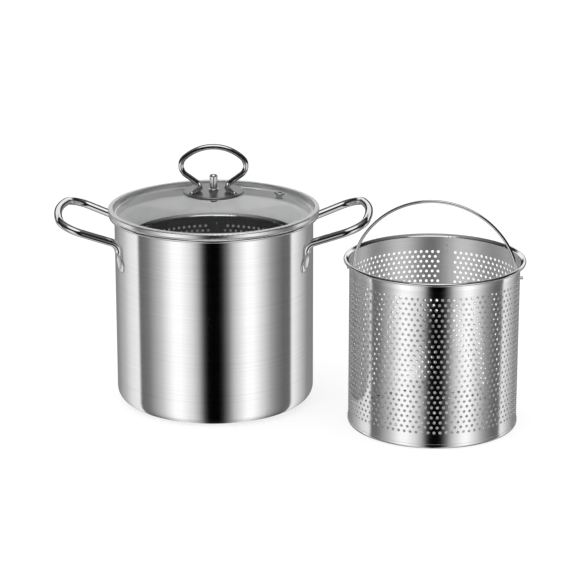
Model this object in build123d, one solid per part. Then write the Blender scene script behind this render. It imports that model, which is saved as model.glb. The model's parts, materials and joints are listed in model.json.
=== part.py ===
from build123d import *
import os
from math import atan2, ceil, cos, degrees, pi, radians, sin, tan

# A deep fryer pot with a glass lid, a frying basket inside it and a second basket standing beside it.
# Millimetres and degrees, +Z up, origin at the middle of the pot's underside, the handles along X.

# Pot body
POT_R = 100.0  # outside of the wall
POT_H = 194.0  # top of the rolled rim
POT_SHEET = 0.8
POT_CORNER_R = 13.0  # outside of the rounded bottom corner
POT_MOUTH_R = 2.0  # bend from the wall into the ledge of the rim
POT_RIM_OUT = 5.5  # of the rolled rim beyond the wall
POT_ROLL_R = 1.8
ROLL_TURN = 230.0  # how far a rolled edge curls

# Side handles
HANDLE_ROD_R = 4.0
HANDLE_FOOT_ANGLE = 26.5  # each foot's angle round the pot, off the X axis
HANDLE_TILT = 20.1  # rise of the loop, away from the pot
HANDLE_BEND_DROP = 21.1  # below the pot's rim, the corner where a foot turns into its arm
HANDLE_BEND_R = 10.5
HANDLE_CORNER_OUT = 47.8  # beyond the pot's wall
HANDLE_SPREAD = 10.1  # of each corner, wider than the foot
HANDLE_CORNER_R = 21.0
HANDLE_END_OUT = 58.9  # beyond the pot's wall
HANDLE_END_R = 150.0
FOOT_TOP_SHARE = 0.76  # depth under the bend where the rod starts to flatten, of the bend's radius
FOOT_LENGTH = 20.5
FOOT_HALF_WIDTH = 8.6
FOOT_HALF_THICKNESS = 1.7
# Down the foot: share of its height, of the gain in half width, of the loss in half thickness
FOOT_SHARES = ((0.0, 0.0, 0.0), (0.36, 0.38, 0.52), (0.68, 1.0, 1.0), (0.93, 0.72, 1.0), (1.0, 0.32, 1.09))
FOOT_WELD_GAP = 0.05
WELD_DENT_R = 24.0
WELD_DENT_DEPTH = 0.9
WELD_DENT_SHARE = 0.56  # of the foot's height, from its top

# Lid
LID_SEAT_GAP = 0.3  # between the pot's rim and the lid's band
BAND_OVERHANG = 0.5  # of the steel band beyond the pot's rim
BAND_H = 5.4
BAND_SHEET = 0.6
BAND_LIP = 4.4  # how far the band folds in over the glass
BAND_BEND_R = 1.2
SKIRT_DEPTH = 6.8  # how far the band's skirt drops into the pot
SKIRT_CLEARANCE = 0.8  # between the skirt and the pot's wall
GLASS_SHEET = 4.0
GLASS_FIT = 0.1  # round the glass in its band
GLASS_EDGE_GAP = 0.8
GLASS_RISE = 15.0  # of the dome above its flat edge
GLASS_FLAT_R = 14.0  # flat middle, under the gasket
GLASS_EDGE_FLAT = 4.6  # flat ring round the dome
# Across the dome: share of its radius, share of its fall
DOME_SHARES = ((0.5, 0.2), (0.84, 0.58))
VENT_X = 66.0
VENT_Y = 12.0
VENT_FLANGE_R = 6.0
VENT_FLANGE = 0.9
VENT_TUBE_R = 3.4
VENT_BORE_R = 2.2
VENT_FIT = 0.15

# Handle on the lid
SCREW_R = 2.4
SCREW_HEAD_R = 4.0
SCREW_HEAD_H = 3.4
SCREW_CLEARANCE = 0.15
SCREW_GLASS_HOLE_R = 5.0
LOWER_GASKET_R = 9.0
LOWER_GASKET = 1.2
WASHER_R = 7.0
WASHER = 1.0
UPPER_GASKET_R = 13.0
UPPER_GASKET = 1.0
STACK_GAP = 0.05  # between the pieces clamped on the glass
PLATE_R = 30.6
PLATE_SHEET = 1.0
PLATE_ROLL_R = 1.4
NUT_FLANGE_R = 5.1
NUT_FLANGE_H = 1.9
NUT_R = 4.1
NUT_TIP_SHARE = 0.62  # radius of the nut's rounded tip, of the nut's radius
NUT_H = 16.8
NUT_GROOVE = 0.5
NUT_BORE_DEPTH = 12.0
SCREW_END_GAP = 1.0
LOOP_ROD_R = 2.8
LOOP_HALF_WIDTH = 32.4  # of the rod's centre line
LOOP_WIDEST_Z = 25.4  # above the plate
LOOP_RISE = 19.4  # from the widest place to the top
LOOP_SIDE_R = 11.3
LOOP_SPLAY = 36.2  # slope of the straight stretches that meet at the neck
LOOP_NECK_X = 10.9
LOOP_NECK_R = 4.6
LOOP_FOOT_X = 21.2
LOOP_FOOT_Y = 16.6
LOOP_FOOT_RISE = 0.4  # of the end's centre line above the plate
LOOP_SLOT_CLEARANCE = 0.15

# Basket
BASKET_WALL_GAP = 15.7  # between the pot's wall and the basket's
BASKET_TOP_DROP = 26.0  # how much lower than the pot the basket is
BASKET_SHEET = 0.6
BASKET_FOLD_H = 4.6  # the bottom dish, folded up round the wall
BASKET_FOLD_R = 2.6
BASKET_FOLD_FIT = 0.1
BASKET_RIM_OUT = 5.7  # of the rolled rim beyond the wall
BASKET_ROLL_R = 1.7
BASKET_COLLAR_H = 9.0  # of the rim hoop round the wall
BASKET_FLARE_H = 2.2
BASKET_FLARE_R = 2.2
BASKET_LEDGE = 0.8
BASKET_EDGE_GAP = 0.3
HOLE_R = 1.5
HOLE_PITCH = 8.74  # along a row
HOLE_ROW_STEP = 7.35
HOLE_FIRST_Z = 15.5
HOLE_TOP_GAP = 4.5  # at least, from the last row to the bail's pivot
SEAM_STRIP = 13.0  # width left without holes along the weld
SEAM_WIDTH = 1.2
SEAM_PROUD = 0.15
BOTTOM_HOLE_STEP = 8.0
BOTTOM_EDGE = 8.0  # plain ring inside the fold
BAIL_WIRE_R = 1.5
BAIL_HOLE_CLEARANCE = 0.06
BAIL_DROP = 15.4  # of the pivot below the basket's top
BAIL_SIDE_GAP = 1.7  # between the wire and the wall
BAIL_TIP = 3.4  # how far the wire's ends stand out of the wall
BAIL_BEND_R = 3.0
BAIL_RISE = 72.0
BAIL_SIDE_R = 54.0
BASKET_FLOOR_GAP = 0.3  # under the basket in the pot
SPARE_OUT = 36.32  # of its left pivot, beyond the pot's wall
SPARE_FRONT = 14.02  # of its left pivot, in front of the right handle's foot
SPARE_TURN = -12.0

# Worked out from the sizes above
POT_INNER_R = POT_R - POT_SHEET
POT_RIM_R = POT_R + POT_RIM_OUT
HANDLE_BEND_Z = POT_H - HANDLE_BEND_DROP
FOOT_TOP_Z = HANDLE_BEND_Z - HANDLE_BEND_R * FOOT_TOP_SHARE
LID_Z = POT_H + LID_SEAT_GAP
BAND_R = POT_RIM_R + BAND_OVERHANG
GLASS_EDGE_Z = LID_Z + BAND_SHEET + GLASS_FIT + GLASS_SHEET
GLASS_TOP_Z = GLASS_EDGE_Z + GLASS_RISE
GLASS_R = BAND_R - BAND_SHEET - GLASS_EDGE_GAP
GLASS_DOME_R = GLASS_R - GLASS_EDGE_FLAT
PLATE_Z = GLASS_TOP_Z + UPPER_GASKET + 2 * STACK_GAP
PLATE_TOP_Z = PLATE_Z + PLATE_SHEET
SCREW_HOLE_R = SCREW_R + SCREW_CLEARANCE
BASKET_R = POT_INNER_R - BASKET_WALL_GAP
BASKET_RIM_R = BASKET_R + BASKET_RIM_OUT
BASKET_H = POT_H - BASKET_TOP_DROP
BASKET_PIVOT_Z = BASKET_H - BAIL_DROP
HOLE_ROWS = 1 + int((BASKET_PIVOT_Z - HOLE_TOP_GAP - HOLE_FIRST_Z) / HOLE_ROW_STEP)
HOLES_ROUND = 2 * int(pi * BASKET_R / HOLE_PITCH)  # in a full row, an even number
BOTTOM_RINGS = int((BASKET_R - BASKET_FOLD_R - BOTTOM_EDGE) / BOTTOM_HOLE_STEP)
SPARE_X = POT_R + SPARE_OUT + BASKET_R * cos(radians(SPARE_TURN))
SPARE_Y = BASKET_R * sin(radians(SPARE_TURN)) - SPARE_FRONT - POT_R * sin(radians(HANDLE_FOOT_ANGLE))
CUT = 4 * POT_SHEET  # overrun of every cut
FLATS = 2 * HOLES_ROUND  # the wall is bent in narrow flats, one to each column of holes
FLAT_ANGLE = 360 / FLATS


def turned_sheet(path, sheet, roll_r=0):
    """Sheet metal turned round Z; the path is one face in the XZ plane, the metal lies to its right.

    With a roll radius, the end of the sheet is curled under.
    """
    section = make_face(Wire(path.edges()).offset_2d(sheet, side=Side.RIGHT).edges())
    if roll_r:
        end, along = path @ 1, path % 1
        outer = JernArc(end, along, roll_r, -ROLL_TURN)
        inner = JernArc(end + Vector(along.Y, -along.X) * sheet, along, roll_r - sheet, -ROLL_TURN)
        closing = [Line(outer @ 1, inner @ 1), Line(inner @ 0, outer @ 0)]
        section += make_face([edge for line in (outer, inner, *closing) for edge in line.edges()])
    return revolve(Plane.XZ * section, Axis.Z)


def washer(outer_r, inner_r, low_z, height):
    """A flat ring."""
    section = Rectangle(outer_r - inner_r, height, align=(Align.MIN, Align.MIN))
    return revolve(Plane.XZ * Pos(inner_r, low_z) * section, Axis.Z)


def rod(path, radius):
    """A round rod along a path."""
    return sweep(Plane(origin=path @ 0, z_dir=path % 0) * Circle(radius), path=path)


def oval_top(half_width, rise, side_r):
    """Radius of the top arc of a three centre oval, and how far round its side arcs go."""
    side_x = half_width - side_r
    top_r = (rise**2 + side_x**2 - side_r**2) / (2 * (rise - side_r))
    return top_r, degrees(atan2(top_r - rise, side_x))


def bent_wire(start, heading, steps):
    """Straight runs (length) and arcs (radius, turn), each tangent to the one before."""
    at, along, edges = Vector(*start), Vector(*heading), []
    for step in steps:
        edge = JernArc(at, along, *step) if len(step) > 1 else Line(at, at + along * step[0])
        edges += edge.edges()
        at, along = edge @ 1, edge % 1
    return Wire(edges)


def pot_body():
    """The drawn pot with its ledge and rolled rim."""
    path = FilletPolyline(
        (0, POT_SHEET),
        (POT_INNER_R, POT_SHEET),
        (POT_INNER_R, POT_H),
        (POT_RIM_R - POT_ROLL_R, POT_H),
        radius=[POT_CORNER_R - POT_SHEET, POT_MOUTH_R],
    )
    return turned_sheet(path, POT_SHEET, POT_ROLL_R)


def handle_foot(angle):
    """The end of a handle's rod, flattened to a spoon against the pot, with its weld dent."""
    sections = []
    for down, wide, thin in FOOT_SHARES:
        half_width = HANDLE_ROD_R + wide * (FOOT_HALF_WIDTH - HANDLE_ROD_R)
        half_thickness = HANDLE_ROD_R - thin * (HANDLE_ROD_R - FOOT_HALF_THICKNESS)
        place = Pos(POT_R + FOOT_WELD_GAP + half_thickness, 0, FOOT_TOP_Z - down * FOOT_LENGTH)
        sections.append(place * Ellipse(half_thickness, half_width))
    face_x = POT_R + FOOT_WELD_GAP + 2 * FOOT_HALF_THICKNESS
    dent = Pos(face_x + WELD_DENT_R - WELD_DENT_DEPTH, 0, FOOT_TOP_Z - WELD_DENT_SHARE * FOOT_LENGTH)
    foot = loft(sections) - dent * Sphere(WELD_DENT_R)
    return Rot(0, 0, angle) * foot


def handle():
    """The handle on the pot's right: a bent rod and its two feet."""
    foot_r = POT_R + FOOT_WELD_GAP + HANDLE_ROD_R
    foot_x = foot_r * cos(radians(HANDLE_FOOT_ANGLE))
    foot_y = foot_r * sin(radians(HANDLE_FOOT_ANGLE))
    corner_x, corner_y = POT_R + HANDLE_CORNER_OUT, foot_y + HANDLE_SPREAD

    def on_loop(x, y):
        return (x, y, HANDLE_BEND_Z + (x - foot_x) * tan(radians(HANDLE_TILT)))

    path = FilletPolyline(
        (foot_x, -foot_y, FOOT_TOP_Z),
        on_loop(foot_x, -foot_y),
        on_loop(corner_x, -corner_y),
        on_loop(POT_R + HANDLE_END_OUT, 0),
        on_loop(corner_x, corner_y),
        on_loop(foot_x, foot_y),
        (foot_x, foot_y, FOOT_TOP_Z),
        radius=[HANDLE_BEND_R, HANDLE_CORNER_R, HANDLE_END_R, HANDLE_CORNER_R, HANDLE_BEND_R],
    )
    return rod(path, HANDLE_ROD_R) + handle_foot(HANDLE_FOOT_ANGLE) + handle_foot(-HANDLE_FOOT_ANGLE)


def dome_curve(drop):
    """The dome's outline in the XZ plane, from its flat middle to its flat edge."""
    top, foot = GLASS_TOP_Z - drop, GLASS_EDGE_Z - drop
    along = [(out * GLASS_DOME_R, top - fall * GLASS_RISE) for out, fall in DOME_SHARES]
    return Spline((GLASS_FLAT_R, top), *along, (GLASS_DOME_R, foot), tangents=((1, 0), (1, 0)))


def vent_place():
    """The plane on top of the glass under the vent's flange."""
    out = Vector(VENT_X, VENT_Y, 0)
    curve = dome_curve(0)
    across = Line((out.length, GLASS_EDGE_Z - GLASS_RISE), (out.length, GLASS_TOP_Z + GLASS_RISE))
    spot = curve.intersect(across).vertices()[0]
    slope = curve.tangent_at(Vector(spot))
    outward = out.normalized()
    normal = outward * -slope.Y + Vector(0, 0, slope.X)
    return Plane(origin=outward * spot.X + Vector(0, 0, spot.Y), z_dir=normal)


def lid_glass():
    """The dome of glass with its flat edge, drilled for the screw and the vent."""
    upper, lower = dome_curve(0), dome_curve(GLASS_SHEET)
    outline = [
        upper,
        Polyline(upper @ 1, (GLASS_R, GLASS_EDGE_Z), (GLASS_R, GLASS_EDGE_Z - GLASS_SHEET), lower @ 1),
        lower,
        Polyline(lower @ 0, (0, GLASS_TOP_Z - GLASS_SHEET), (0, GLASS_TOP_Z), upper @ 0),
    ]
    glass = revolve(Plane.XZ * make_face([edge for line in outline for edge in line.edges()]), Axis.Z)
    screw_hole = Pos(0, 0, GLASS_TOP_Z) * Cylinder(SCREW_GLASS_HOLE_R, 4 * GLASS_SHEET)
    vent_hole = vent_place() * Cylinder(VENT_TUBE_R + VENT_FIT, 4 * GLASS_SHEET)
    return glass - screw_hole - vent_hole


def lid_band():
    """The steel band folded round the glass edge, with the skirt that centres the lid in the pot."""
    top = LID_Z + BAND_H
    skirt_r = POT_INNER_R - SKIRT_CLEARANCE
    path = FilletPolyline(
        (skirt_r, LID_Z - SKIRT_DEPTH),
        (skirt_r, LID_Z),
        (BAND_R, LID_Z),
        (BAND_R, top),
        (BAND_R - BAND_LIP, top),
        radius=[BAND_BEND_R / 2, BAND_BEND_R, BAND_BEND_R],
    )
    section = make_face(Wire(path.edges()).offset_2d(BAND_SHEET, side=Side.LEFT).edges())
    return revolve(Plane.XZ * section, Axis.Z)


def vent_eyelet():
    """A flanged steel eyelet through the glass."""
    below = GLASS_SHEET + 2 * VENT_FIT
    section = make_face(
        Polyline(
            (VENT_BORE_R, VENT_FIT + VENT_FLANGE),
            (VENT_FLANGE_R - VENT_FLANGE, VENT_FIT + VENT_FLANGE),
            (VENT_FLANGE_R, VENT_FIT),
            (VENT_TUBE_R, VENT_FIT),
            (VENT_TUBE_R, -below),
            (VENT_FLANGE_R - VENT_FLANGE, -below),
            (VENT_FLANGE_R - VENT_FLANGE, -below - VENT_FLANGE),
            (VENT_BORE_R, -below - VENT_FLANGE),
            close=True,
        )
    )
    return vent_place() * revolve(Plane.XZ * section, Axis.Z)


def loop_path():
    """Centre line of the lid's loop: an oval, pinched to a neck, its feet splayed towards the front."""
    top_r, side_turn = oval_top(LOOP_HALF_WIDTH, LOOP_RISE, LOOP_SIDE_R)
    widest_z = PLATE_TOP_Z + LOOP_WIDEST_Z
    run_x, run_z = cos(radians(LOOP_SPLAY)), sin(radians(LOOP_SPLAY))
    join_x = LOOP_HALF_WIDTH - LOOP_SIDE_R + LOOP_SIDE_R * run_z
    join_z = widest_z - LOOP_SIDE_R * run_x
    side = (LOOP_SIDE_R, 90 - LOOP_SPLAY + side_turn)
    oval = bent_wire((join_x, join_z), (run_x, run_z), [side, (top_r, 180 - 2 * side_turn), side])
    neck_z = join_z - (join_x - LOOP_NECK_X) * run_z / run_x
    foot_z = PLATE_TOP_Z + LOOP_FOOT_RISE
    right = FilletPolyline(
        (LOOP_FOOT_X, -LOOP_FOOT_Y, foot_z),
        (LOOP_NECK_X, 0, neck_z),
        (join_x, 0, join_z),
        radius=LOOP_NECK_R,
    )
    left = FilletPolyline(
        (-join_x, 0, join_z),
        (-LOOP_NECK_X, 0, neck_z),
        (-LOOP_FOOT_X, -LOOP_FOOT_Y, foot_z),
        radius=LOOP_NECK_R,
    )
    return Wire([*right.edges(), *(Plane.XZ * oval).edges(), *left.edges()])


def loop_solid(radius):
    """The lid's loop as a rod with round ends."""
    path = loop_path()
    ends = [Pos(*(path @ end)) * Sphere(radius) for end in (0, 1)]
    return rod(path, radius) + ends


def handle_plate():
    """The round plate with its rolled edge, slotted for the feet of the loop."""
    path = Line((SCREW_HOLE_R, PLATE_TOP_Z), (PLATE_R - PLATE_ROLL_R, PLATE_TOP_Z))
    return turned_sheet(path, PLATE_SHEET, PLATE_ROLL_R) - loop_solid(LOOP_ROD_R + LOOP_SLOT_CLEARANCE)


def cap_nut():
    """The bullet shaped nut, with a flange, a groove and a blind hole."""
    low = PLATE_TOP_Z + STACK_GAP
    high = low + NUT_H
    tip_r = NUT_R * NUT_TIP_SHARE
    groove_z = low + NUT_FLANGE_H + NUT_GROOVE
    outline = FilletPolyline(
        (0, high),
        (NUT_R, high),
        (NUT_R, groove_z + NUT_GROOVE),
        (NUT_R - NUT_GROOVE, groove_z),
        (NUT_R, groove_z - NUT_GROOVE),
        (NUT_FLANGE_R, groove_z - NUT_GROOVE),
        (NUT_FLANGE_R, low),
        (0, low),
        radius=[tip_r, 0, 0, 0, NUT_GROOVE, 0],
    )
    section = make_face([*outline.edges(), *Line((0, low), (0, high)).edges()])
    nut = revolve(Plane.XZ * section, Axis.Z)
    return nut - washer(SCREW_HOLE_R, 0, low - CUT, NUT_BORE_DEPTH + CUT)


def lid_screw():
    """The screw that clamps the plate through the glass, with a domed head underneath."""
    head_z = GLASS_TOP_Z - GLASS_SHEET - LOWER_GASKET - WASHER - 3 * STACK_GAP
    end_z = PLATE_TOP_Z + STACK_GAP + NUT_BORE_DEPTH - SCREW_END_GAP
    outline = FilletPolyline(
        (0, end_z),
        (SCREW_R, end_z),
        (SCREW_R, head_z),
        (SCREW_HEAD_R, head_z),
        (SCREW_HEAD_R, head_z - SCREW_HEAD_H),
        (0, head_z - SCREW_HEAD_H),
        radius=[0, 0, 0, SCREW_HEAD_H / 2],
    )
    section = make_face([*outline.edges(), *Line((0, head_z - SCREW_HEAD_H), (0, end_z)).edges()])
    return revolve(Plane.XZ * section, Axis.Z)


def lower_gasket():
    """A silicone ring under the glass, with a collar in the screw hole."""
    under = GLASS_TOP_Z - GLASS_SHEET - STACK_GAP
    collar_r = SCREW_GLASS_HOLE_R - VENT_FIT
    ring = washer(LOWER_GASKET_R, SCREW_HOLE_R, under - LOWER_GASKET, LOWER_GASKET)
    return ring + washer(collar_r, SCREW_HOLE_R, under - LOWER_GASKET, LOWER_GASKET + GLASS_SHEET)


def lid_washer():
    """The steel washer under the screw's gasket."""
    top = GLASS_TOP_Z - GLASS_SHEET - LOWER_GASKET - 2 * STACK_GAP
    return washer(WASHER_R, SCREW_HOLE_R, top - WASHER, WASHER)


def upper_gasket():
    """The silicone ring between the glass and the plate."""
    return washer(UPPER_GASKET_R, SCREW_HOLE_R, GLASS_TOP_Z + STACK_GAP, UPPER_GASKET)


def basket_wall():
    """The perforated wall with its weld at the back and the holes for the bail."""
    low, high = BASKET_FOLD_R, BASKET_H - BASKET_FLARE_H - BASKET_EDGE_GAP
    weld_low, weld_high = BASKET_FOLD_H + BASKET_EDGE_GAP, BASKET_H - BASKET_COLLAR_H - BASKET_EDGE_GAP
    shapes = [
        RegularPolygon(radius, FLATS, major_radius=False, rotation=FLAT_ANGLE / 2)
        for radius in (BASKET_R, BASKET_R - BASKET_SHEET)
    ]
    wall = Pos(0, 0, low) * extrude(shapes[0] - shapes[1], high - low)
    middle = Pos(0, BASKET_R - BASKET_SHEET / 2, (weld_low + weld_high) / 2)
    wall += middle * Box(SEAM_WIDTH, BASKET_SHEET + 2 * SEAM_PROUD, weld_high - weld_low)
    seam = FLATS // 4
    plain = ceil(SEAM_STRIP / 2 / (BASKET_R * radians(FLAT_ANGLE)))
    holes = [
        Pos(0, 0, HOLE_FIRST_Z + row * HOLE_ROW_STEP) * Rot(0, 0, FLAT_ANGLE * column) * through_wall(HOLE_R)
        for row in range(HOLE_ROWS)
        for column in range(row % 2, FLATS, 2)
        if abs(column - seam) > plain
    ]
    tip_hole = Pos(0, 0, BASKET_PIVOT_Z) * through_wall(BAIL_WIRE_R + BAIL_HOLE_CLEARANCE)
    return wall - [*holes, tip_hole, Rot(0, 0, 180) * tip_hole]


def through_wall(radius):
    """A cutter across the basket's wall on the X axis."""
    return Pos(BASKET_R, 0, 0) * Rot(0, 90, 0) * Cylinder(radius, 2 * CUT)


def basket_bottom():
    """The perforated dish folded up round the wall's lower edge."""
    fold_r = BASKET_R + BASKET_FOLD_FIT
    path = FilletPolyline(
        (0, BASKET_SHEET),
        (fold_r, BASKET_SHEET),
        (fold_r, BASKET_FOLD_H),
        radius=BASKET_FOLD_R - BASKET_SHEET,
    )
    holes = [
        Rot(0, 0, 60 * turn / ring) * Pos(ring * BOTTOM_HOLE_STEP, 0, 0) * Cylinder(HOLE_R, CUT)
        for ring in range(1, BOTTOM_RINGS + 1)
        for turn in range(6 * ring)
    ]
    return turned_sheet(path, BASKET_SHEET) - holes


def basket_rim():
    """The hoop round the wall's upper edge, flared to a ledge and rolled."""
    collar_r = BASKET_R + BASKET_FOLD_FIT
    ledge_r = BASKET_RIM_R - BASKET_ROLL_R
    path = FilletPolyline(
        (collar_r, BASKET_H - BASKET_COLLAR_H),
        (collar_r, BASKET_H - BASKET_FLARE_H),
        (ledge_r - BASKET_LEDGE, BASKET_H),
        (ledge_r, BASKET_H),
        radius=[BASKET_FLARE_R, BASKET_LEDGE],
    )
    return turned_sheet(path, BASKET_SHEET, BASKET_ROLL_R)


def basket_bail():
    """The wire bail, standing up, its ends through the holes in the wall."""
    half_span = BASKET_R - BASKET_SHEET - BAIL_SIDE_GAP - BAIL_WIRE_R
    top_r, side_turn = oval_top(half_span, BAIL_RISE - BAIL_BEND_R, BAIL_SIDE_R)
    tip = (BASKET_R + BAIL_TIP - half_span - BAIL_BEND_R,)
    bend = (BAIL_BEND_R, -90)
    side = (BAIL_SIDE_R, side_turn)
    steps = [tip, bend, side, (top_r, 180 - 2 * side_turn), side, bend, tip]
    path = bent_wire((BASKET_R + BAIL_TIP, 0), (-1, 0), steps)
    return Pos(0, 0, BASKET_PIVOT_Z) * rod(Plane.XZ * path, BAIL_WIRE_R)


def folded(bail):
    """The bail swung down to hang inside its basket."""
    return Pos(0, 0, BASKET_PIVOT_Z) * Rot(180, 0, 0) * Pos(0, 0, -BASKET_PIVOT_Z) * bail


right_handle = handle()
wall, bottom, rim, bail = basket_wall(), basket_bottom(), basket_rim(), basket_bail()
in_pot = Pos(0, 0, POT_SHEET + BASKET_FLOOR_GAP)
beside = Pos(SPARE_X, SPARE_Y, 0) * Rot(0, 0, SPARE_TURN)

nodes = {
    "pot_body": pot_body(),
    "handle_right": right_handle,
    "handle_left": Rot(0, 0, 180) * right_handle,
    "lid_glass": lid_glass(),
    "lid_band": lid_band(),
    "vent_eyelet": vent_eyelet(),
    "handle_plate": handle_plate(),
    "lid_loop": loop_solid(LOOP_ROD_R),
    "cap_nut": cap_nut(),
    "lid_screw": lid_screw(),
    "lid_washer": lid_washer(),
    "lower_gasket": lower_gasket(),
    "upper_gasket": upper_gasket(),
    "basket_wall": in_pot * wall,
    "basket_bottom": in_pot * bottom,
    "basket_rim": in_pot * rim,
    "basket_bail": in_pot * folded(bail),
    "spare_basket_wall": beside * wall,
    "spare_basket_bottom": beside * bottom,
    "spare_basket_rim": beside * rim,
    "spare_basket_bail": beside * bail,
}

os.makedirs("parts", exist_ok=True)
for name, shape in nodes.items():
    export_step(shape, f"parts/{name}.step", write_pcurves=False)
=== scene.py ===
"""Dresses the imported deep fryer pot: polished and brushed steel, clear glass, pale silicone, a bright studio."""

import json
from math import atan2, cos, pi, radians, sin, tau

import bpy
from mathutils import Matrix, Vector


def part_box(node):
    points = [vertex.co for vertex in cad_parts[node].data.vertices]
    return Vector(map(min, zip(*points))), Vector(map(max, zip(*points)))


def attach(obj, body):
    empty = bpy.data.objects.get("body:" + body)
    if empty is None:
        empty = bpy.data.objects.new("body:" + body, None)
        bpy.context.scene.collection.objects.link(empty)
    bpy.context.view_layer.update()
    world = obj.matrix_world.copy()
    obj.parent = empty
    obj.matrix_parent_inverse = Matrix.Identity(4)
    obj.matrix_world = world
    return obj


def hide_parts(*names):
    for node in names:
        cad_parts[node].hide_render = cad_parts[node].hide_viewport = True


bl_info = {
    "name": "Deep fryer pot",
    "version": (1, 0, 0),
    "blender": (4, 5, 0),
    "location": "View3D > Sidebar > Fryer pot",
    "description": "Finishes and studio for a steel fryer pot with a glass lid and two frying baskets",
    "category": "Object",
}

MM = 0.001
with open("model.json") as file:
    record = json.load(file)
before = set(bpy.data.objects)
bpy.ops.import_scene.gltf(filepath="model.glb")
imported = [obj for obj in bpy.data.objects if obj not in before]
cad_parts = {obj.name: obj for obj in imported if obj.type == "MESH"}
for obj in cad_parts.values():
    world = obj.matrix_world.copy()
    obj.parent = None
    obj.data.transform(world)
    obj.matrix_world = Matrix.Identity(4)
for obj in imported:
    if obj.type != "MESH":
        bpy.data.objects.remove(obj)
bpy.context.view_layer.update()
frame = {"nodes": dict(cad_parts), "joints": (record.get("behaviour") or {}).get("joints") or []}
cad = frame["nodes"]
joints = {joint["name"]: joint for joint in frame["joints"]}

# The photograph's camera, found from the rims and the base
IMAGE_PX = 580
FOCAL_PX = 2364
SENSOR = 36.0
CAMERA_PITCH = radians(17.12)
CAMERA_DISTANCE = 2.4
CAMERA_AIM = Vector((0.0765, 0, 0.11))
AIM_BELOW_CENTRE_PX = 1.4

# What the steel reflects, by the compass angle of the reflected ray off the camera's side: angle, brightness
STUDIO_BANDS = (
    (-180, 0.15),
    (-150, 0.24),
    (-128, 0.45),
    (-114, 0.71),
    (-98, 0.85),
    (-95, 0.11),
    (-81, 0.18),
    (-63, 0.52),
    (-55, 0.77),
    (-47, 1.0),
    (-38, 1.0),
    (-25, 0.71),
    (-18, 0.44),
    (-11, 0.06),
    (-7, 0.0),
    (7, 0.0),
    (11, 0.02),
    (17, 0.17),
    (24, 0.52),
    (39, 1.0),
    (47, 1.0),
    (54, 0.79),
    (70, 0.34),
    (79, 0.2),
    (88, 0.125),
    (100, 0.13),
    (103, 0.85),
    (109, 0.77),
    (122, 0.49),
    (138, 0.24),
    (180, 0.15),
)

# Sines of the ray's slope between which the bands start below the horizon, and dim further down
BANDS_START = (0.0, -0.12)
BANDS_DIM = (-0.44, -0.54)
BANDS_DIMMED_BY = 0.3
# What the steel reflects above and below those bands: sine of the ray's slope, brightness
STUDIO_HEIGHTS = (
    (-1.0, 0.30),
    (-0.86, 0.12),
    (-0.72, 0.03),
    (-0.5, 0.012),
    (0.6, 0.012),
    (0.85, 0.12),
    (1.0, 0.30),
)
# A pale backdrop behind the object: where it starts and is whole, as compass angles and sines of the ray's slope
BACKDROP_SIDES = (radians(115), radians(140))
BACKDROP_FOOT = (0.12, 0.2)
BACKDROP_TOP = (0.46, 0.36)
BACKDROP_GREY = (0.8, 0.8, 0.8, 1)
# A round softbox overhead: its lean toward the camera, its reach from its middle, and the reach that is full bright
SOFTBOX_TILT = radians(26)
SOFTBOX_EDGE = radians(27)
SOFTBOX_CORE = 0.86 * SOFTBOX_EDGE
# The lamp and the floor
KEY_SIZE = 1.4
KEY_PLACE = Vector((-1.3, -1.2, 2.2))
FLOOR_HALF = 8.0
FLOOR_DROP = 0.2 * MM
FLOOR_GLOW = 0.78  # what the camera sees of it beside the light that falls on it

# Finishes
POT_CORNER = 13 * MM  # bend between the pot's wall and its base
CORNER_SLOPE = 0.15  # share of that bend's slope that its reflections keep
CORNER_BLEND = 0.1  # how far round the bend's top the change spreads, as a share of the bend
STREAK_DEPTH = 0.10  # how much darker the low parts of a finish are
WIPE_DEPTH = 0.05
MOTTLE_DEPTH = 0.08
TINT_RANGE = (0.3, 0.7)  # of a finish's noise, from darkened to plain
CLOUD_MIDDLE = 0.45  # of the noise that handling leaves
WIPE_SPREAD = 0.8  # of a polished surface's roughness, as a share of it
FINE_LINES = 0.75  # share of the fine brush lines beside the broad ones
BROAD_LINES = (6.0, 6.0, 45.0)
LOOKS_INWARD = (-0.2, -0.7)  # outward part of a face's normal, from none of the inside finish to all of it
LOOKS_UP = (0.5, 0.9)
RELIEF_DEPTH = 0.05 * MM

# The weld where the ends of a basket's wall meet
BEAD_HALF_WIDTH = 0.6 * MM
BEAD_PROUD = 0.15 * MM
BEAD_GAP = 0.3 * MM  # to the bottom's fold and to the rim
BEAD_ROWS = 60
# Across the bead: share of its half width, share of its rise
BEAD_PROFILE = ((-1.0, 0.0), (-0.6, 0.8), (0.0, 1.0), (0.6, 0.8), (1.0, 0.0))


def node_size(name):
    """A CAD node's extent."""
    low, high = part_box(name)
    return Vector(high) - Vector(low)


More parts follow.
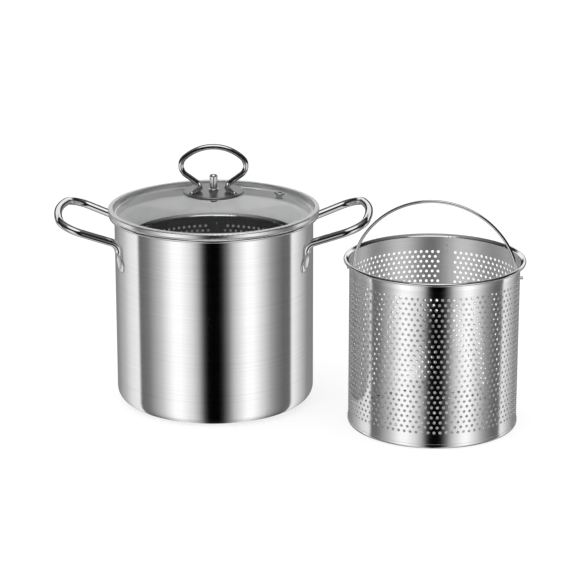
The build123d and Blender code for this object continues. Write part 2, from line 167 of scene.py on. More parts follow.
class SteelFinish(bpy.types.PropertyGroup):
    """Colours and polish of the metal."""

    pot_colour: bpy.props.FloatVectorProperty(
        name="Pot steel", description="Colour of the drawn pot", subtype="COLOR", default=(0.78, 0.78, 0.785)
    )
    rod_colour: bpy.props.FloatVectorProperty(
        name="Rod steel", description="Colour of the polished rods", subtype="COLOR", default=(0.70, 0.70, 0.705)
    )
    basket_colour: bpy.props.FloatVectorProperty(
        name="Basket steel", description="Colour of the perforated sheet", subtype="COLOR", default=(0.74, 0.74, 0.745)
    )
    plate_colour: bpy.props.FloatVectorProperty(
        name="Plate steel", description="Colour of the lid's plate", subtype="COLOR", default=(0.38, 0.38, 0.385)
    )
    nut_colour: bpy.props.FloatVectorProperty(
        name="Nut steel", description="Colour of the lid's cap nut", subtype="COLOR", default=(0.95, 0.95, 0.955)
    )
    eyelet_colour: bpy.props.FloatVectorProperty(
        name="Eyelet steel", description="Colour of the steam eyelet", subtype="COLOR", default=(0.42, 0.42, 0.425)
    )
    # Painted light: near white inside the pot, standing in for the light that its steel reflects from above
    pot_inside_painted_light: bpy.props.FloatVectorProperty(
        name="Pot inside", description="Colour of the pot's pale inside", subtype="COLOR", default=(0.95, 0.95, 0.945)
    )
    # Painted light: a pale colour on the band's top and inside, standing in for the light that it reflects
    band_inside_painted_light: bpy.props.FloatVectorProperty(
        name="Band top", description="Colour of the lid band's top", subtype="COLOR", default=(0.92, 0.92, 0.915)
    )
    # Painted shade: a dark grey inside the basket that stands in the pot, standing in for the shade under the lid and
    # inside the pot
    covered_inside_painted_shade: bpy.props.FloatVectorProperty(
        name="Covered basket inside",
        description="Colour inside the basket under the lid",
        subtype="COLOR",
        default=(0.42, 0.42, 0.425),
    )
    # Kept low so that the painted light of the pot's inside shows as a matt colour
    pot_inside_metal: bpy.props.FloatProperty(
        name="Pot inside metal", description="How much the pot's inside mirrors", min=0, max=1, default=0.1
    )
    # Below 1, so that part of the band's top shows its painted light as a matt colour
    band_inside_metal: bpy.props.FloatProperty(
        name="Band top metal", description="How much the lid band's top mirrors", min=0, max=1, default=0.75
    )
    pot_roughness: bpy.props.FloatProperty(
        name="Pot roughness", description="Blur of the brushed wall", min=0, max=1, default=0.11
    )
    inside_roughness: bpy.props.FloatProperty(
        name="Inside roughness", description="Blur of the vessels' satin insides", min=0, max=1, default=0.42
    )
    rod_roughness: bpy.props.FloatProperty(
        name="Rod roughness", description="Blur of the polished rods", min=0, max=1, default=0.07
    )
    basket_roughness: bpy.props.FloatProperty(
        name="Basket roughness", description="Blur of the perforated sheet", min=0, max=1, default=0.13
    )
    covered_inside_roughness: bpy.props.FloatProperty(
        name="Covered basket roughness", description="Blur inside the basket under the lid", min=0, max=1, default=0.3
    )
    rim_roughness: bpy.props.FloatProperty(
        name="Rim roughness", description="Blur of the baskets' rolled rims", min=0, max=1, default=0.1
    )
    band_roughness: bpy.props.FloatProperty(
        name="Band roughness", description="Blur of the lid's band", min=0, max=1, default=0.24
    )
    plate_roughness: bpy.props.FloatProperty(
        name="Plate roughness", description="Blur of the lid's satin plate", min=0, max=1, default=0.34
    )
    nut_roughness: bpy.props.FloatProperty(
        name="Nut roughness", description="Blur of the cap nut", min=0, max=1, default=0.22
    )
    eyelet_roughness: bpy.props.FloatProperty(
        name="Eyelet roughness", description="Blur of the steam eyelet", min=0, max=1, default=0.3
    )


class LidFinish(bpy.types.PropertyGroup):
    """Colours of the lid's glass and gaskets."""

    glass_tint: bpy.props.FloatVectorProperty(
        name="Glass tint", description="Colour of the clear glass", subtype="COLOR", default=(0.985, 0.99, 0.988)
    )
    gasket_colour: bpy.props.FloatVectorProperty(
        name="Gasket", description="Colour of the silicone rings", subtype="COLOR", default=(0.82, 0.82, 0.80)
    )


class Perforation(bpy.types.PropertyGroup):
    """Sizes of the round holes in the baskets' walls."""

    hole_radius: bpy.props.FloatProperty(
        name="Hole radius", description="Radius of each hole", subtype="DISTANCE", unit="LENGTH", default=1.5 * MM
    )
    rows: bpy.props.IntProperty(name="Rows", description="Rows of holes", min=1, default=27)
    row_step: bpy.props.FloatProperty(
        name="Row step", description="Height between rows", subtype="DISTANCE", unit="LENGTH", default=5.14 * MM
    )
    first_row: bpy.props.FloatProperty(
        name="First row", description="Height of the lowest row", subtype="DISTANCE", unit="LENGTH", default=16.5 * MM
    )
    holes_round: bpy.props.IntProperty(
        name="Holes round", description="Holes in a full row", min=3, default=90
    )
    plain_columns: bpy.props.IntProperty(
        name="Plain columns", description="Columns left plain on each side of the weld", min=0, default=2
    )
    hole_sides: bpy.props.IntProperty(
        name="Hole sides", description="Sides that each hole is drawn with", min=8, default=16
    )
    sheet: bpy.props.FloatProperty(
        name="Sheet", description="Thickness of the wall", subtype="DISTANCE", unit="LENGTH", default=0.6 * MM
    )


class Studio(bpy.types.PropertyGroup):
    """Light and background."""

    reflection: bpy.props.FloatProperty(
        name="Reflected light", description="Brightness of the panels that the steel reflects", min=0, default=1.35
    )
    ambient: bpy.props.FloatProperty(
        name="Ambient light", description="Plain light from all round", min=0, default=0.95
    )
    key_power: bpy.props.FloatProperty(
        name="Key light", description="Power of the large soft lamp", subtype="POWER", min=0, default=12.0
    )
    floor_colour: bpy.props.FloatVectorProperty(
        name="Floor", description="Colour of the pale floor", subtype="COLOR", default=(0.30, 0.30, 0.30)
    )


def settings(group):
    """One of the scene's groups of settings."""
    return getattr(bpy.context.scene, group)


def add_node(tree, kind, **values):
    """A shader node with its attributes set."""
    node = tree.nodes.new(kind)
    for name, value in values.items():
        setattr(node, name, value)
    return node


def result_of(tree, operation, first, second):
    """A Math node's result; each input is a socket or a number."""
    node = add_node(tree, "ShaderNodeMath", operation=operation)
    for socket, value in zip(node.inputs, (first, second)):
        if isinstance(value, (int, float)):
            socket.default_value = value
        else:
            tree.links.new(value, socket)
    return node.outputs[0]


def level_ramp(tree, position, stops):
    """Greys along a ramp, from pairs of position and level."""
    ramp = add_node(tree, "ShaderNodeValToRGB")
    elements = ramp.color_ramp.elements
    for place, level in stops:
        ends = {0: elements[0], 1: elements[len(elements) - 1]}
        stop = ends[place] if place in ends else elements.new(place)
        stop.color = (level, level, level, 1)
    tree.links.new(position, ramp.inputs["Fac"])
    return ramp.outputs["Color"]


def fade(tree, value, start, end):
    """0 at the start, 1 at the end, smooth between."""
    node = add_node(tree, "ShaderNodeMapRange", interpolation_type="SMOOTHSTEP")
    node.inputs["From Min"].default_value = start
    node.inputs["From Max"].default_value = end
    tree.links.new(value, node.inputs["Value"])
    return node.outputs["Result"]


def blend(tree, mask, first, second):
    """Two colours mixed by a mask; each is a socket or a value."""
    node = add_node(tree, "ShaderNodeMix", data_type="RGBA")
    tree.links.new(mask, node.inputs["Factor"])
    for label, value in (("A", first), ("B", second)):
        if isinstance(value, tuple):
            node.inputs[label].default_value = value
        else:
            tree.links.new(value, node.inputs[label])
    return node.outputs["Result"]


def group_with(name, inputs, outputs):
    """An empty shader group with float sockets, its input node and its output node."""
    tree = bpy.data.node_groups.new(name, "ShaderNodeTree")
    for label, value in inputs:
        socket = tree.interface.new_socket(label, in_out="INPUT", socket_type="NodeSocketFloat")
        socket.default_value = value
    for label in outputs:
        tree.interface.new_socket(label, in_out="OUTPUT", socket_type="NodeSocketFloat")
    return tree, tree.nodes.new("NodeGroupInput"), tree.nodes.new("NodeGroupOutput")


def noise_at(tree, scales, detail=2.0):
    """Noise over object coordinates, stretched by three scales."""
    place = add_node(tree, "ShaderNodeTexCoord").outputs["Object"]
    stretch = add_node(tree, "ShaderNodeVectorMath", operation="MULTIPLY")
    combine = add_node(tree, "ShaderNodeCombineXYZ")
    for socket, scale in zip(combine.inputs, scales):
        if isinstance(scale, (int, float)):
            socket.default_value = scale
        else:
            tree.links.new(scale, socket)
    tree.links.new(place, stretch.inputs[0])
    tree.links.new(combine.outputs[0], stretch.inputs[1])
    noise = add_node(tree, "ShaderNodeTexNoise")
    noise.inputs["Scale"].default_value = 1.0
    noise.inputs["Detail"].default_value = detail
    tree.links.new(stretch.outputs[0], noise.inputs["Vector"])
    return noise.outputs["Fac"]


def brush_lines_group():
    """Fine lines left by a brush that went round the piece."""
    tree, given, result = group_with(
        "Brush lines",
        (("Along", 12.0), ("Across", 900.0), ("Roughness", 0.15), ("Spread", 0.08)),
        ("Height", "Roughness"),
    )
    fine = noise_at(tree, (given.outputs["Along"], given.outputs["Along"], given.outputs["Across"]), 3.0)
    broad = noise_at(tree, BROAD_LINES)
    fine_part = result_of(tree, "MULTIPLY", fine, FINE_LINES)
    mixed = result_of(tree, "ADD", fine_part, result_of(tree, "MULTIPLY", broad, 1 - FINE_LINES))
    offset = result_of(tree, "MULTIPLY", result_of(tree, "SUBTRACT", mixed, 0.5), given.outputs["Spread"])
    tree.links.new(mixed, result.inputs["Height"])
    tree.links.new(result_of(tree, "ADD", given.outputs["Roughness"], offset), result.inputs["Roughness"])
    return tree


def inside_group():
    """Which faces of a round vessel look at its middle or up from its floor, and its satin inside; the mask also
    places painted light and painted shade inside vessels.
    """
    tree, given, result = group_with(
        "Vessel inside", (("Outside", 0.15), ("Inside", 0.4), ("Metal inside", 1.0)), ("Roughness", "Metallic", "Mask")
    )
    place = add_node(tree, "ShaderNodeTexCoord")
    flat = add_node(tree, "ShaderNodeVectorMath", operation="MULTIPLY")
    flat.inputs[1].default_value = (1, 1, 0)
    tree.links.new(place.outputs["Object"], flat.inputs[0])
    unit = add_node(tree, "ShaderNodeVectorMath", operation="NORMALIZE")
    tree.links.new(flat.outputs[0], unit.inputs[0])
    outward = add_node(tree, "ShaderNodeVectorMath", operation="DOT_PRODUCT")
    tree.links.new(unit.outputs[0], outward.inputs[0])
    tree.links.new(place.outputs["Normal"], outward.inputs[1])
    normal = add_node(tree, "ShaderNodeSeparateXYZ")
    tree.links.new(place.outputs["Normal"], normal.inputs[0])
    upward = fade(tree, normal.outputs["Z"], *LOOKS_UP)
    mask = result_of(tree, "MAXIMUM", fade(tree, outward.outputs["Value"], *LOOKS_INWARD), upward)
    more = result_of(tree, "SUBTRACT", given.outputs["Inside"], given.outputs["Outside"])
    roughness = result_of(tree, "ADD", given.outputs["Outside"], result_of(tree, "MULTIPLY", mask, more))
    tree.links.new(roughness, result.inputs["Roughness"])
    tree.links.new(mask, result.inputs["Mask"])
    lost = result_of(tree, "SUBTRACT", 1.0, given.outputs["Metal inside"])
    metal = result_of(tree, "SUBTRACT", 1.0, result_of(tree, "MULTIPLY", mask, lost))
    tree.links.new(metal, result.inputs["Metallic"])
    return tree


def handling_group():
    """Cloudy marks of wiping and handling on polished metal."""
    tree, given, result = group_with(
        "Handling marks", (("Roughness", 0.08), ("Spread", 0.06), ("Size", 60.0)), ("Roughness", "Mask")
    )
    cloud = noise_at(tree, (given.outputs["Size"],) * 3, 4.0)
    offset = result_of(tree, "MULTIPLY", result_of(tree, "SUBTRACT", cloud, CLOUD_MIDDLE), given.outputs["Spread"])
    tree.links.new(result_of(tree, "ADD", given.outputs["Roughness"], offset), result.inputs["Roughness"])
    tree.links.new(cloud, result.inputs["Mask"])
    return tree


def place_group(tree, make, name, **values):
    """A group node of a shared effect, built once, with its own values."""
    node = add_node(tree, "ShaderNodeGroup", node_tree=bpy.data.node_groups.get(name) or make())
    for label, value in values.items():
        node.inputs[label].default_value = value
    return node


def bare_material(name):
    """A material's tree and its Principled shader."""
    material = bpy.data.materials.new(name)
    material.use_nodes = True
    return material, material.node_tree, material.node_tree.nodes["Principled BSDF"]


def tinted(tree, colour, mask, depth):
    """The colour, darkened a little where the mask is low."""
    ramp = add_node(tree, "ShaderNodeValToRGB")
    for end, share in enumerate((1 - depth, 1)):
        ramp.color_ramp.elements[end].color = (*[part * share for part in colour], 1)
        ramp.color_ramp.elements[end].position = TINT_RANGE[end]
    tree.links.new(mask, ramp.inputs["Fac"])
    return ramp.outputs["Color"]


def upright_normal(tree, below):
    """The surface's normal, held nearly level round the bottom corner, where the wall's streaks run on unbroken."""
    place = add_node(tree, "ShaderNodeSeparateXYZ")
    tree.links.new(add_node(tree, "ShaderNodeTexCoord").outputs["Object"], place.inputs[0])
    level = fade(tree, place.outputs["Z"], below * (1 + CORNER_BLEND), below * (1 - CORNER_BLEND))
    normal = add_node(tree, "ShaderNodeSeparateXYZ")
    tree.links.new(add_node(tree, "ShaderNodeNewGeometry").outputs["Normal"], normal.inputs[0])
    share = result_of(tree, "SUBTRACT", 1.0, result_of(tree, "MULTIPLY", level, 1.0 - CORNER_SLOPE))
    held = add_node(tree, "ShaderNodeCombineXYZ")
    for axis in ("X", "Y"):
        tree.links.new(normal.outputs[axis], held.inputs[axis])
    tree.links.new(result_of(tree, "MULTIPLY", normal.outputs["Z"], share), held.inputs["Z"])
    unit = add_node(tree, "ShaderNodeVectorMath", operation="NORMALIZE")
    tree.links.new(held.outputs[0], unit.inputs[0])
    return unit.outputs[0]


def brushed_steel(
    name,
    colour,
    roughness,
    along=12.0,
    across=900.0,
    bump=0.02,
    spread=0.08,
    inside=None,
    metal_inside=1.0,
    painted_inside_tone=None,
    plain_in_mirrors=False,
    corner=None,
):
    """Steel brushed round the vertical axis, with fine streaks; a vessel's inside can have a finish of its own, and a
    colour of its own that is painted light or painted shade.
    """
    material, tree, shader = bare_material(name)
    lines = place_group(
        tree, brush_lines_group, "Brush lines", Along=along, Across=across, Roughness=roughness, Spread=spread
    )
    shader.inputs["Metallic"].default_value = 1.0
    if inside is not None:
        finish = {"Outside": roughness, "Inside": inside, "Metal inside": metal_inside}
        vessel = place_group(tree, inside_group, "Vessel inside", **finish)
        tree.links.new(vessel.outputs["Roughness"], lines.inputs["Roughness"])
        metal = vessel.outputs["Metallic"]
        if plain_in_mirrors:
            mirrored = add_node(tree, "ShaderNodeLightPath").outputs["Is Glossy Ray"]
            metal = result_of(tree, "MULTIPLY", metal, result_of(tree, "SUBTRACT", 1.0, mirrored))
        tree.links.new(metal, shader.inputs["Metallic"])
    surface = tinted(tree, colour, lines.outputs["Height"], STREAK_DEPTH)
    # Painted light or shade: where the mask marks the inside, the given colour replaces the steel's
    if painted_inside_tone is not None:
        surface = blend(tree, vessel.outputs["Mask"], surface, (*painted_inside_tone, 1))
    tree.links.new(surface, shader.inputs["Base Color"])
    tree.links.new(lines.outputs["Roughness"], shader.inputs["Roughness"])
    relief = add_node(tree, "ShaderNodeBump")
    relief.inputs["Strength"].default_value = bump
    relief.inputs["Distance"].default_value = RELIEF_DEPTH
    if corner is not None:
        tree.links.new(upright_normal(tree, corner), relief.inputs["Normal"])
    tree.links.new(lines.outputs["Height"], relief.inputs["Height"])
    tree.links.new(relief.outputs["Normal"], shader.inputs["Normal"])
    return material


def polished_steel(name, colour, roughness, size=60.0):
    """Bright steel with faint wiping marks."""
    material, tree, shader = bare_material(name)
    marks = place_group(
        tree, handling_group, "Handling marks", Roughness=roughness, Spread=roughness * WIPE_SPREAD, Size=size
    )
    shader.inputs["Metallic"].default_value = 1.0
    tree.links.new(tinted(tree, colour, marks.outputs["Mask"], WIPE_DEPTH), shader.inputs["Base Color"])
    tree.links.new(marks.outputs["Roughness"], shader.inputs["Roughness"])
    return material


def clear_glass(name, tint):
    """Clear glass that lets lamp light through to what lies under it."""
    material, tree, shader = bare_material(name)
    shader.inputs["Base Color"].default_value = (*tint, 1)
    shader.inputs["Transmission Weight"].default_value = 1.0
    shader.inputs["Roughness"].default_value = 0.0
    shader.inputs["IOR"].default_value = 1.0
    shader.inputs["Coat Weight"].default_value = 0.3
    shader.inputs["Coat Roughness"].default_value = 0.02
    path = add_node(tree, "ShaderNodeLightPath")
    inside = add_node(tree, "ShaderNodeNewGeometry").outputs["Backfacing"]
    through = add_node(tree, "ShaderNodeBsdfTransparent")
    through.inputs["Color"].default_value = (*tint, 1)
    mix = add_node(tree, "ShaderNodeMixShader")
    passes = result_of(tree, "MAXIMUM", path.outputs["Is Shadow Ray"], path.outputs["Is Diffuse Ray"])
    passes = result_of(tree, "MAXIMUM", passes, path.outputs["Is Glossy Ray"])
    passes = result_of(tree, "MAXIMUM", passes, inside)
    tree.links.new(passes, mix.inputs["Fac"])
    tree.links.new(shader.outputs["BSDF"], mix.inputs[1])
    tree.links.new(through.outputs["BSDF"], mix.inputs[2])
    tree.links.new(mix.outputs["Shader"], tree.nodes["Material Output"].inputs["Surface"])
    return material


def silicone(name, colour):
    """Matt, slightly mottled silicone."""
    material, tree, shader = bare_material(name)
    marks = place_group(tree, handling_group, "Handling marks", Roughness=0.55, Spread=0.2, Size=400.0)
    tree.links.new(tinted(tree, colour, marks.outputs["Mask"], MOTTLE_DEPTH), shader.inputs["Base Color"])
    tree.links.new(marks.outputs["Roughness"], shader.inputs["Roughness"])
    return material


def unmirrored(*pieces):
    """Keeps pieces out of the reflections of those beside them."""
    for piece in pieces:
        piece.visible_glossy = False


def dress(material, *names):
    """Gives CAD nodes a material."""
    for name in names:
        data = cad[name].data
        data.materials.clear()
        data.materials.append(material)


class FRYERPOT_OT_pot(bpy.types.Operator):
    """Brush the drawn pot"""

    bl_idname = "fryerpot.pot"
    bl_label = "Pot"

    def execute(self, context):
        steel = settings("steel_finish")
        # The pot's inside gets painted light: near white and mostly matt
        pot_steel = brushed_steel(
            "Brushed pot steel",
            steel.pot_colour,
            steel.pot_roughness,
            along=4.0,
            across=1300.0,
            inside=steel.inside_roughness,
            metal_inside=steel.pot_inside_metal,
            painted_inside_tone=steel.pot_inside_painted_light,
            plain_in_mirrors=True,
            corner=POT_CORNER,
        )
        dress(pot_steel, "pot_body")
        return {"FINISHED"}


class FRYERPOT_OT_side_handles(bpy.types.Operator):
    """Polish the two side handles"""

    bl_idname = "fryerpot.side_handles"
    bl_label = "Side handles"

    def execute(self, context):
        steel = settings("steel_finish")
        polished = polished_steel("Polished rod steel", steel.rod_colour, steel.rod_roughness)
        dress(polished, "handle_left", "handle_right")
        unmirrored(cad["handle_left"], cad["handle_right"])
        return {"FINISHED"}


class FRYERPOT_OT_lid(bpy.types.Operator):
    """Make the lid's glass clear and its band bright"""

    bl_idname = "fryerpot.lid"
    bl_label = "Lid"

    def execute(self, context):
        lid, steel = settings("lid_finish"), settings("steel_finish")
        dress(clear_glass("Clear lid glass", lid.glass_tint), "lid_glass")
        # The band's top and inside get painted light: pale and partly matt
        band_steel = brushed_steel(
            "Rolled band steel",
            steel.pot_colour,
            steel.band_roughness,
            along=4.0,
            across=500.0,
            inside=steel.inside_roughness,
            metal_inside=steel.band_inside_metal,
            painted_inside_tone=steel.band_inside_painted_light,
        )
        dress(band_steel, "lid_band")
        dress(silicone("Pale silicone", lid.gasket_colour), "upper_gasket", "lower_gasket")
        return {"FINISHED"}


class FRYERPOT_OT_lid_fittings(bpy.types.Operator):
    """Finish the plate, the loop, the nut, the screw and the vent"""

    bl_idname = "fryerpot.lid_fittings"
    bl_label = "Lid fittings"

    def execute(self, context):
        steel = settings("steel_finish")
        satin = brushed_steel(
            "Satin plate steel", steel.plate_colour, steel.plate_roughness, along=150.0, across=150.0
        )
        dress(satin, "handle_plate")
        polished = polished_steel("Polished fitting steel", steel.rod_colour, steel.rod_roughness, size=140.0)
        dress(polished, "lid_loop", "lid_screw", "lid_washer")
        dress(polished_steel("Satin nut steel", steel.nut_colour, steel.nut_roughness, size=200.0), "cap_nut")
        eyelet = polished_steel("Dull eyelet steel", steel.eyelet_colour, steel.eyelet_roughness, size=200.0)
        dress(eyelet, "vent_eyelet")
        return {"FINISHED"}


def perforated_sheet(holes, rows, radius, low, high):
    """The mesh of a round wall with staggered round holes, its weld at the back."""
    columns = 2 * holes.holes_round
    step = tau / columns
    weld = columns // 4
    first, rise = holes.first_row - holes.row_step / 2, holes.row_step
    bands = [low] + [first + rise * row for row in range(rows + 1)] + [high]
    points, faces, known = [], [], {}

    def point(column, height, reach, key=None):
        """The index of a point on the wall, shared where it has a key."""
        if key is not None and key in known:
            return known[key]
        angle = column * step
        points.append((reach * cos(angle), reach * sin(angle), height))
        if key is not None:
            known[key] = len(points) - 1
        return len(points) - 1

    def grid(column, band, side):
        """A point where a column meets the edge of a band."""
        column %= columns
        return point(column, bands[band], sides[side], (column, band, side))

    def face(corners, side):
        faces.append(corners if side == 0 else corners[::-1])

    def ring(column, height, reach):
        """The edge of one hole."""
        turn = tau / holes.hole_sides
        across = holes.hole_radius / (radius * step)
        return [
            point(column + across * cos(turn * i), height + holes.hole_radius * sin(turn * i), reach)
            for i in range(holes.hole_sides)
        ]

    def hole_cell(column, band, side):
        """The sheet round one hole."""
        height = (bands[band] + bands[band + 1]) / 2
        inner = ring(column, height, sides[side])
        outer = [
            grid(column + 1, band, side),
            grid(column + 1, band + 1, side),
            grid(column, band + 1, side),
            grid(column - 1, band + 1, side),
            grid(column - 1, band, side),
            grid(column, band, side),
        ]
        count = holes.hole_sides
        # Corners in turn from the lower right, each at a place round the hole
        stops = [-count // 8, count // 8, count // 4, count * 3 // 8, count * 5 // 8, count * 3 // 4, count * 7 // 8]
        for corner in range(6):
            start, end = stops[corner], stops[corner + 1]
            fan = [inner[i % count] for i in range(end, start - 1, -1)]
            face([outer[corner], outer[(corner + 1) % 6], *fan], side)

    def hole_edge(column, band):
        """The thickness of the sheet inside one hole."""
        height = (bands[band] + bands[band + 1]) / 2
        near, far = ring(column, height, sides[0]), ring(column, height, sides[1])
        for i in range(holes.hole_sides):
            j = (i + 1) % holes.hole_sides
            faces.append([near[j], far[j], far[i], near[i]])

    def is_plain(column, row):
        """Whether a place in the pattern has no hole: by the weld, and at the bail's two pivots."""
        at_pivot = row == holes.rows - 1 and column % (columns // 2) == 0
        return at_pivot or abs((column - weld + columns // 2) % columns - columns // 2) <= holes.plain_columns

    sides = (radius, radius - holes.sheet)
    for band in range(len(bands) - 1):
        in_rows = 0 < band < len(bands) - 2
        row = band - 1
        for column in range(columns):
            pierced = in_rows and (column - row) % 2 == 0 and not is_plain(column, row)
            left_pierced = in_rows and (column - row) % 2 == 1 and not is_plain(column + 1, row)
            for side in (0, 1):
                if pierced:
                    hole_cell(column, band, side)
                elif not left_pierced:
                    face(
                        [
                            grid(column, band, side),
                            grid(column + 1, band, side),
                            grid(column + 1, band + 1, side),
                            grid(column, band + 1, side),
                        ],
                        side,
                    )
            if pierced:
                hole_edge(column, band)
    for column in range(columns):
        for band, lowest in ((0, True), (len(bands) - 1, False)):
            corners = [
                point(column, bands[band], sides[0]),
                point(column, bands[band], sides[1]),
                point(column + 1, bands[band], sides[1]),
                point(column + 1, bands[band], sides[0]),
            ]
            faces.append(corners if lowest else corners[::-1])
    mesh = bpy.data.meshes.new("perforated_wall")
    mesh.from_pydata(points, [], faces)
    mesh.shade_smooth()
    return mesh


def weld_bead(radius, sheet, low, high):
    """The mesh of the raised line where the wall's ends are welded."""
    profile = [(across * BEAD_HALF_WIDTH, rise * BEAD_PROUD) for across, rise in BEAD_PROFILE]
    points, faces = [], []
    for row in range(BEAD_ROWS + 1):
        height = low + (high - low) * row / BEAD_ROWS
        points += [(across, radius + rise, height) for across, rise in profile]
        points += [(across, radius - sheet - rise, height) for across, rise in reversed(profile)]
    around = 2 * len(profile)
    for row in range(BEAD_ROWS):
        for i in range(around):
            j = (i + 1) % around
            faces.append([row * around + j, row * around + i, (row + 1) * around + i, (row + 1) * around + j])
    faces.append(list(range(around)))
    faces.append([BEAD_ROWS * around + i for i in reversed(range(around))])
    mesh = bpy.data.meshes.new("weld_bead")
    mesh.from_pydata(points, [], faces)
    mesh.shade_smooth()
    return mesh


class FRYERPOT_OT_baskets(bpy.types.Operator):
    """Make the perforated walls, and finish the bottoms and rims"""

    bl_idname = "fryerpot.baskets"
    bl_label = "Baskets"

    def execute(self, context):
        steel, holes = settings("steel_finish"), settings("perforation")
        sheet_steels = {
            body: brushed_steel(
                name,
                steel.basket_colour,
                steel.basket_roughness,
                along=14.0,
                across=700.0,
                bump=0.015,
                spread=0.06,
                inside=inside,
                painted_inside_tone=painted_inside_shade,
            )
            # Only the basket in the pot gets painted shade inside; the standing basket keeps its steel colour
            for body, name, inside, painted_inside_shade in (
                (
                    "basket",
                    "Rolled steel of the basket in the pot",
                    steel.covered_inside_roughness,
                    steel.covered_inside_painted_shade,
                ),
                ("spare_basket", "Rolled steel of the standing basket", steel.inside_roughness, None),
            )
        }
        rim_steel = polished_steel("Rolled rim steel", steel.pot_colour, steel.rim_roughness, size=25.0)
        for body, steel_sheet in sheet_steels.items():
            dress(steel_sheet, f"{body}_bottom")
        dress(rim_steel, "basket_rim", "spare_basket_rim")
        unmirrored(cad["spare_basket_bottom"], cad["spare_basket_rim"])
        bottom_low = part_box("spare_basket_bottom")[0][2]
        low, high = (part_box("spare_basket_wall")[end][2] - bottom_low for end in (0, 1))
        radius = node_size("basket_wall").x / 2
        walls = {
            body: perforated_sheet(holes, rows, radius, low, high)
            for body, rows in (("basket", holes.rows + 1), ("spare_basket", holes.rows))
        }
        bead_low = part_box("spare_basket_bottom")[1][2] - bottom_low + BEAD_GAP
        bead_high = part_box("spare_basket_rim")[0][2] - bottom_low - BEAD_GAP
        bead = weld_bead(radius, holes.sheet, bead_low, bead_high)
        axis = joints["spare_bail_hinge"]["axis"]
        hinge = Vector(joints["spare_bail_hinge"]["pos_m"])
        places = {
            "basket": ((0, 0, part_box("basket_bottom")[0][2]), 0),
            "spare_basket": ((hinge.x, hinge.y, bottom_low), atan2(axis[1], axis[0])),
        }
        for body, (place, angle) in places.items():
            for label, mesh in (("perforated_wall", walls[body]), ("weld_bead", bead.copy())):
                mesh.transform(Matrix.Rotation(angle, 4, "Z"))
                mesh.materials.append(sheet_steels[body])
                piece = bpy.data.objects.new(f"{body}_{label}", mesh)
                context.scene.collection.objects.link(piece)
                piece.matrix_world = Matrix.Translation(place)
                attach(piece, body)
                if body == "spare_basket":
                    unmirrored(piece)
                if label == "perforated_wall":
                    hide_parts(f"{body}_wall")
        return {"FINISHED"}


class FRYERPOT_OT_bails(bpy.types.Operator):
    """Polish the wire bails"""

    bl_idname = "fryerpot.bails"
    bl_label = "Bails"

    def execute(self, context):
        steel = settings("steel_finish")
        wire = polished_steel("Polished wire", steel.rod_colour, steel.rod_roughness, size=90.0)
        dress(wire, "basket_bail", "spare_basket_bail")
        unmirrored(cad["spare_basket_bail"])
        return {"FINISHED"}


def studio_world(studio):
    """A world that is white to the camera, plain to matt surfaces and banded with panels to steel."""
    world = bpy.data.worlds.new("Studio")
    world.use_nodes = True
    bpy.context.scene.world = world
    tree = world.node_tree
    tree.nodes.clear()
    heading = add_node(tree, "ShaderNodeTexCoord").outputs["Generated"]
    parts = add_node(tree, "ShaderNodeSeparateXYZ")
    tree.links.new(heading, parts.inputs[0])
    slope = parts.outputs["Z"]
    angle = result_of(tree, "ARCTAN2", parts.outputs["X"], result_of(tree, "MULTIPLY", parts.outputs["Y"], -1.0))
    share = result_of(tree, "ADD", result_of(tree, "DIVIDE", angle, tau), 0.5)
    bands = level_ramp(tree, share, [((angle + 180) / 360, level) for angle, level in STUDIO_BANDS])
    height_share = result_of(tree, "MULTIPLY", result_of(tree, "ADD", slope, 1.0), 0.5)
    heights = level_ramp(tree, height_share, [((height + 1) / 2, level) for height, level in STUDIO_HEIGHTS])
    dimmed = result_of(tree, "MULTIPLY", fade(tree, slope, *BANDS_DIM), BANDS_DIMMED_BY)
    kept = result_of(tree, "SUBTRACT", 1.0, dimmed)
    at_walls = result_of(tree, "MULTIPLY", kept, fade(tree, slope, *BANDS_START))
    panels = blend(tree, at_walls, heights, bands)
    backdrop = fade(tree, result_of(tree, "ABSOLUTE", angle, 0.0), *BACKDROP_SIDES)
    for edge in (BACKDROP_FOOT, BACKDROP_TOP):
        backdrop = result_of(tree, "MULTIPLY", fade(tree, slope, *edge), backdrop)
    panels = blend(tree, backdrop, panels, BACKDROP_GREY)
    toward_box = add_node(tree, "ShaderNodeVectorMath", operation="DOT_PRODUCT")
    tree.links.new(heading, toward_box.inputs[0])
    toward_box.inputs[1].default_value = (0, -sin(SOFTBOX_TILT), cos(SOFTBOX_TILT))
    softbox = fade(tree, toward_box.outputs["Value"], cos(SOFTBOX_EDGE), cos(SOFTBOX_CORE))
    whole = blend(tree, softbox, panels, (1, 1, 1, 1))
    reflected = add_node(tree, "ShaderNodeBackground")
    reflected.inputs["Strength"].default_value = studio.reflection
    tree.links.new(whole, reflected.inputs["Color"])
    plain = add_node(tree, "ShaderNodeBackground")
    plain.inputs["Strength"].default_value = studio.ambient
    white = add_node(tree, "ShaderNodeBackground")
    for background in (plain, white):
        background.inputs["Color"].default_value = (1, 1, 1, 1)
    path = add_node(tree, "ShaderNodeLightPath")
    steel = add_node(tree, "ShaderNodeMixShader")
    tree.links.new(path.outputs["Is Glossy Ray"], steel.inputs["Fac"])
    tree.links.new(plain.outputs[0], steel.inputs[1])
    tree.links.new(reflected.outputs[0], steel.inputs[2])
    seen = add_node(tree, "ShaderNodeMixShader")
    direct = result_of(tree, "MAXIMUM", path.outputs["Is Camera Ray"], path.outputs["Is Transmission Ray"])
    tree.links.new(direct, seen.inputs["Fac"])
    tree.links.new(steel.outputs[0], seen.inputs[1])
    tree.links.new(white.outputs[0], seen.inputs[2])
    tree.links.new(seen.outputs[0], add_node(tree, "ShaderNodeOutputWorld").inputs["Surface"])


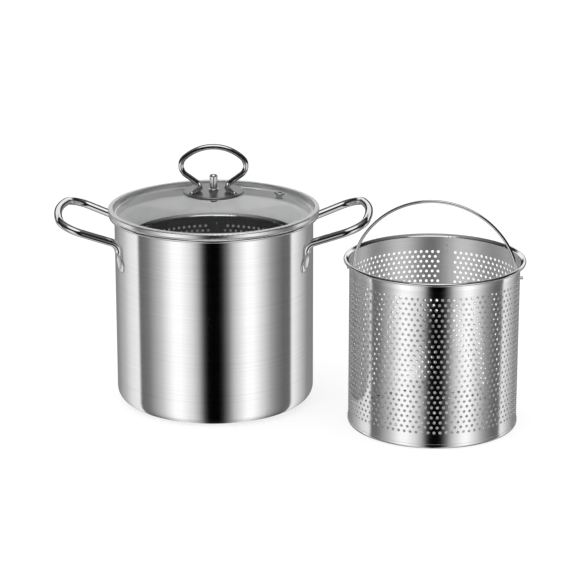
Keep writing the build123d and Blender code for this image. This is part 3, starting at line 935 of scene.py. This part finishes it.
def floor_material(colour):
    """A pale floor, white to the camera but for shadows, that the steel's reflections pass through."""
    material, tree, shader = bare_material("Pale floor")
    shader.inputs["Base Color"].default_value = (*colour, 1)
    shader.inputs["Roughness"].default_value = 1.0
    shader.inputs["Specular IOR Level"].default_value = 0.0
    path = add_node(tree, "ShaderNodeLightPath")
    direct = result_of(tree, "MAXIMUM", path.outputs["Is Camera Ray"], path.outputs["Is Transmission Ray"])
    shader.inputs["Emission Color"].default_value = (1, 1, 1, 1)
    tree.links.new(result_of(tree, "MULTIPLY", direct, FLOOR_GLOW), shader.inputs["Emission Strength"])
    through = add_node(tree, "ShaderNodeBsdfTransparent")
    mix = add_node(tree, "ShaderNodeMixShader")
    tree.links.new(path.outputs["Is Glossy Ray"], mix.inputs["Fac"])
    tree.links.new(shader.outputs["BSDF"], mix.inputs[1])
    tree.links.new(through.outputs["BSDF"], mix.inputs[2])
    tree.links.new(mix.outputs["Shader"], tree.nodes["Material Output"].inputs["Surface"])
    return material


class FRYERPOT_OT_stage(bpy.types.Operator):
    """Set the floor, the light and the photograph's camera"""

    bl_idname = "fryerpot.stage"
    bl_label = "Stage"

    def execute(self, context):
        studio = settings("studio")
        scene = context.scene
        scene.view_settings.view_transform = "Standard"
        mesh = bpy.data.meshes.new("floor")
        corners = [(x * FLOOR_HALF, y * FLOOR_HALF, 0) for x, y in ((-1, -1), (1, -1), (1, 1), (-1, 1))]
        mesh.from_pydata(corners, [], [(0, 1, 2, 3)])
        mesh.materials.append(floor_material(studio.floor_colour))
        floor = bpy.data.objects.new("floor", mesh)
        floor.location.z = -FLOOR_DROP
        scene.collection.objects.link(floor)
        studio_world(studio)
        key_data = bpy.data.lights.new("Key", "AREA")
        key_data.energy = studio.key_power
        key_data.size = KEY_SIZE
        key = bpy.data.objects.new("Key", key_data)
        key.location = KEY_PLACE
        key.rotation_mode = "QUATERNION"
        key.rotation_quaternion = (-KEY_PLACE).to_track_quat("-Z", "Y")
        key.visible_glossy = False
        scene.collection.objects.link(key)
        camera_data = bpy.data.cameras.new("Camera")
        camera_data.sensor_width = SENSOR
        camera_data.lens = SENSOR * FOCAL_PX / IMAGE_PX
        camera_data.shift_y = AIM_BELOW_CENTRE_PX / IMAGE_PX
        camera = bpy.data.objects.new("Camera", camera_data)
        back = Vector((0, -cos(CAMERA_PITCH), sin(CAMERA_PITCH)))
        camera.location = CAMERA_AIM + back * CAMERA_DISTANCE
        camera.rotation_euler = (pi / 2 - CAMERA_PITCH, 0, 0)
        scene.collection.objects.link(camera)
        scene.camera = camera
        return {"FINISHED"}


class FRYERPOT_PT_panel(bpy.types.Panel):
    """The pot's settings and operators"""

    bl_label = "Fryer pot"
    bl_idname = "FRYERPOT_PT_panel"
    bl_space_type = "VIEW_3D"
    bl_region_type = "UI"
    bl_category = "Fryer pot"

    def draw(self, context):
        for name in PROPERTY_GROUPS:
            group = settings(name)
            for prop in group.bl_rna.properties:
                if not prop.is_readonly and prop.identifier != "name":
                    self.layout.prop(group, prop.identifier)
        for operator in OPERATORS:
            self.layout.operator(operator.bl_idname)


PROPERTY_GROUPS = {
    "steel_finish": SteelFinish,
    "lid_finish": LidFinish,
    "perforation": Perforation,
    "studio": Studio,
}
OPERATORS = (
    FRYERPOT_OT_pot,
    FRYERPOT_OT_side_handles,
    FRYERPOT_OT_lid,
    FRYERPOT_OT_lid_fittings,
    FRYERPOT_OT_baskets,
    FRYERPOT_OT_bails,
    FRYERPOT_OT_stage,
)


def register():
    for name, group in PROPERTY_GROUPS.items():
        bpy.utils.register_class(group)
        setattr(bpy.types.Scene, name, bpy.props.PointerProperty(type=group))
    for operator in OPERATORS:
        bpy.utils.register_class(operator)
    bpy.utils.register_class(FRYERPOT_PT_panel)


def unregister():
    bpy.utils.unregister_class(FRYERPOT_PT_panel)
    for operator in reversed(OPERATORS):
        bpy.utils.unregister_class(operator)
    for name, group in PROPERTY_GROUPS.items():
        delattr(bpy.types.Scene, name)
        bpy.utils.unregister_class(group)


def main():
    register()
    for operator in OPERATORS:
        group, name = operator.bl_idname.split(".")
        getattr(getattr(bpy.ops, group), name)()


if __name__ == "__main__":
    main()
